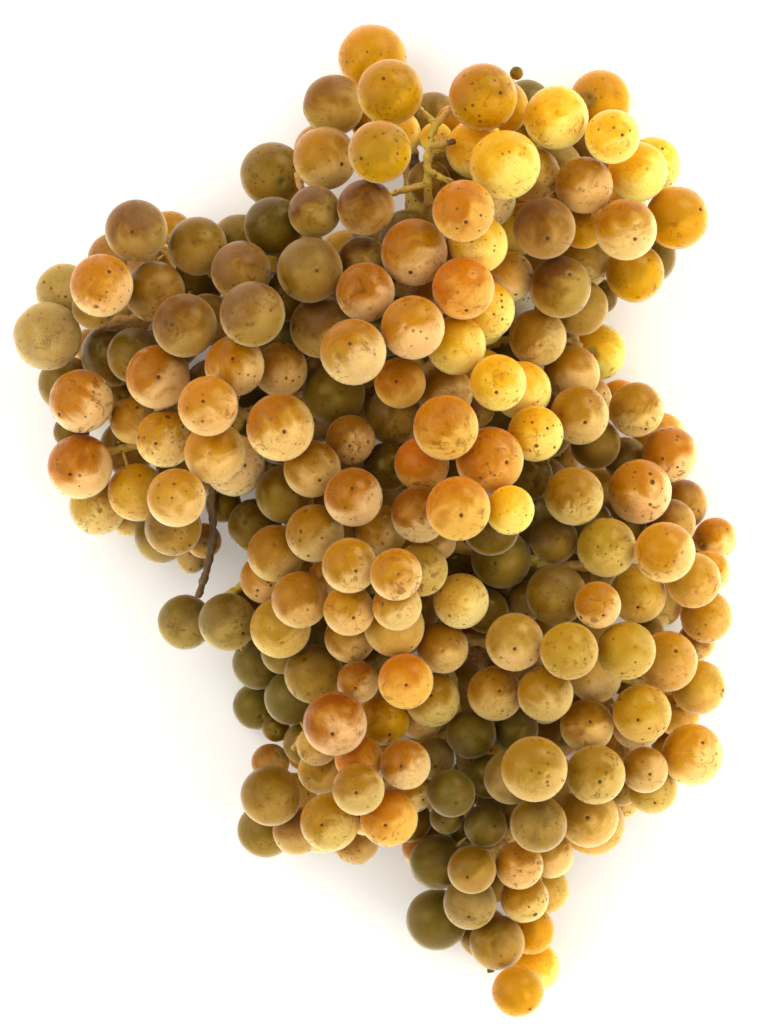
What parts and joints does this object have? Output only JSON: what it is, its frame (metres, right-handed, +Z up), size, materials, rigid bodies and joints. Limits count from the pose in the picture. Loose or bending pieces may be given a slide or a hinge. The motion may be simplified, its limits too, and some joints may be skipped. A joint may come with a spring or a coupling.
{
  "type": "bunch of grapes",
  "caption": "Large compound bunch of ripe white grapes lying on its back: round berries in two shoulders, a broad body and a narrow tail, on a branched woody stalk",
  "frame": {"origin": "centre of the box's footprint, on the surface that the bunch lies on", "axes": "+Y runs along the bunch towards the cut stem, +Z is up from the surface through the front of the bunch, +X is across it, to the right for an eye above"},
  "size_m": [0.1758, 0.2416, 0.0844],
  "materials": {
    "grape_skin": "ripe amber-gold grape skin with a thin waxy bloom, smooth and softly glossy",
    "stalk_wood": "greenish brown, slightly woody grape stalk, matt"
  },
  "bodies": {
    "root": {"sprig_crown_1": "grape_skin", "sprig_crown_2": "grape_skin", "sprig_front_1": "grape_skin", "sprig_front_2": "grape_skin", "sprig_front_3": "grape_skin", "sprig_front_4": "grape_skin", "sprig_left_shoulder_1": "grape_skin", "sprig_left_shoulder_2": "grape_skin", "sprig_left_shoulder_3": "grape_skin", "sprig_left_shoulder_4": "grape_skin", "sprig_left_shoulder_5": "grape_skin", "sprig_lower_left_1": "grape_skin", "sprig_lower_left_2": "grape_skin", "sprig_lower_left_3": "grape_skin", "sprig_lower_right_1": "grape_skin", "sprig_lower_right_2": "grape_skin", "sprig_lower_right_3": "grape_skin", "sprig_lower_right_4": "grape_skin", "sprig_middle_1": "grape_skin", "sprig_middle_2": "grape_skin", "sprig_middle_3": "grape_skin", "sprig_middle_4": "grape_skin", "sprig_middle_5": "grape_skin", "sprig_middle_6": "grape_skin", "sprig_right_shoulder_1": "grape_skin", "sprig_right_shoulder_2": "grape_skin", "sprig_right_shoulder_3": "grape_skin", "sprig_right_shoulder_4": "grape_skin", "sprig_right_side_1": "grape_skin", "sprig_right_side_2": "grape_skin", "sprig_right_side_3": "grape_skin", "sprig_right_side_4": "grape_skin", "sprig_tail_1": "grape_skin", "sprig_tail_2": "grape_skin", "sprig_underside_1": "grape_skin", "sprig_underside_10": "grape_skin", "sprig_underside_11": "grape_skin", "sprig_underside_12": "grape_skin", "sprig_underside_13": "grape_skin", "sprig_underside_14": "grape_skin", "sprig_underside_15": "grape_skin", "sprig_underside_16": "grape_skin", "sprig_underside_17": "grape_skin", "sprig_underside_2": "grape_skin", "sprig_underside_3": "grape_skin", "sprig_underside_4": "grape_skin", "sprig_underside_5": "grape_skin", "sprig_underside_6": "grape_skin", "sprig_underside_7": "grape_skin", "sprig_underside_8": "grape_skin", "sprig_underside_9": "grape_skin", "stalk": "stalk_wood"}
  },
  "joints": []
}
